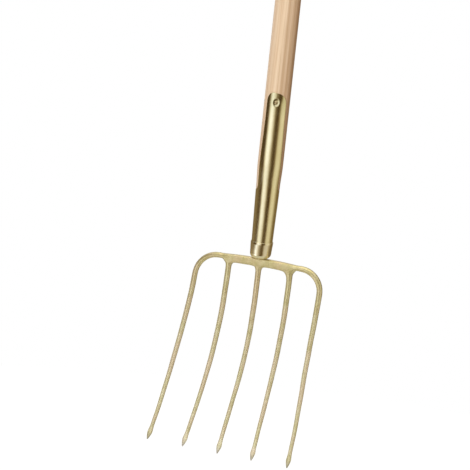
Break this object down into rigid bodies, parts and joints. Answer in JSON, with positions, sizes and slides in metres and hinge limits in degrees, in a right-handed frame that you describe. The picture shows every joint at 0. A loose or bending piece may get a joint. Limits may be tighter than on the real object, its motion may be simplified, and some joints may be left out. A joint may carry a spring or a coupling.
{
  "type": "compost fork",
  "caption": "Long handled compost and manure fork: round ash handle, brass coloured strap ferrule with a collar cap, and a forged head of slim curved tines",
  "frame": {"origin": "middle of the handle's flat free end face", "axes": "+Z along the handle, out of its free end, with the head at negative Z; +X along the crossbar; the tines curve forward to -Y"},
  "size_m": [0.23, 0.1208, 1.6334],
  "materials": {
    "ash_handle": "smooth sealed ash, fine straight grain",
    "ferrule_sheet": "glossy yellow-gold plating on rolled steel sheet",
    "collar_sheet": "glossy yellow-gold plating on a pressed steel cap",
    "screw": "gold plated steel, slightly dull in the slot",
    "forged_steel": "satin pale gold lacquer on forged steel, grey at the points"
  },
  "bodies": {
    "root": {"handle": "ash_handle", "strap_ferrule": "ferrule_sheet", "collar_cap": "collar_sheet", "strap_screw": "screw", "crossbar_with_tang": "forged_steel", "tine_outer_left": "forged_steel", "tine_inner_left": "forged_steel", "tine_centre": "forged_steel", "tine_inner_right": "forged_steel", "tine_outer_right": "forged_steel"}
  },
  "joints": []
}
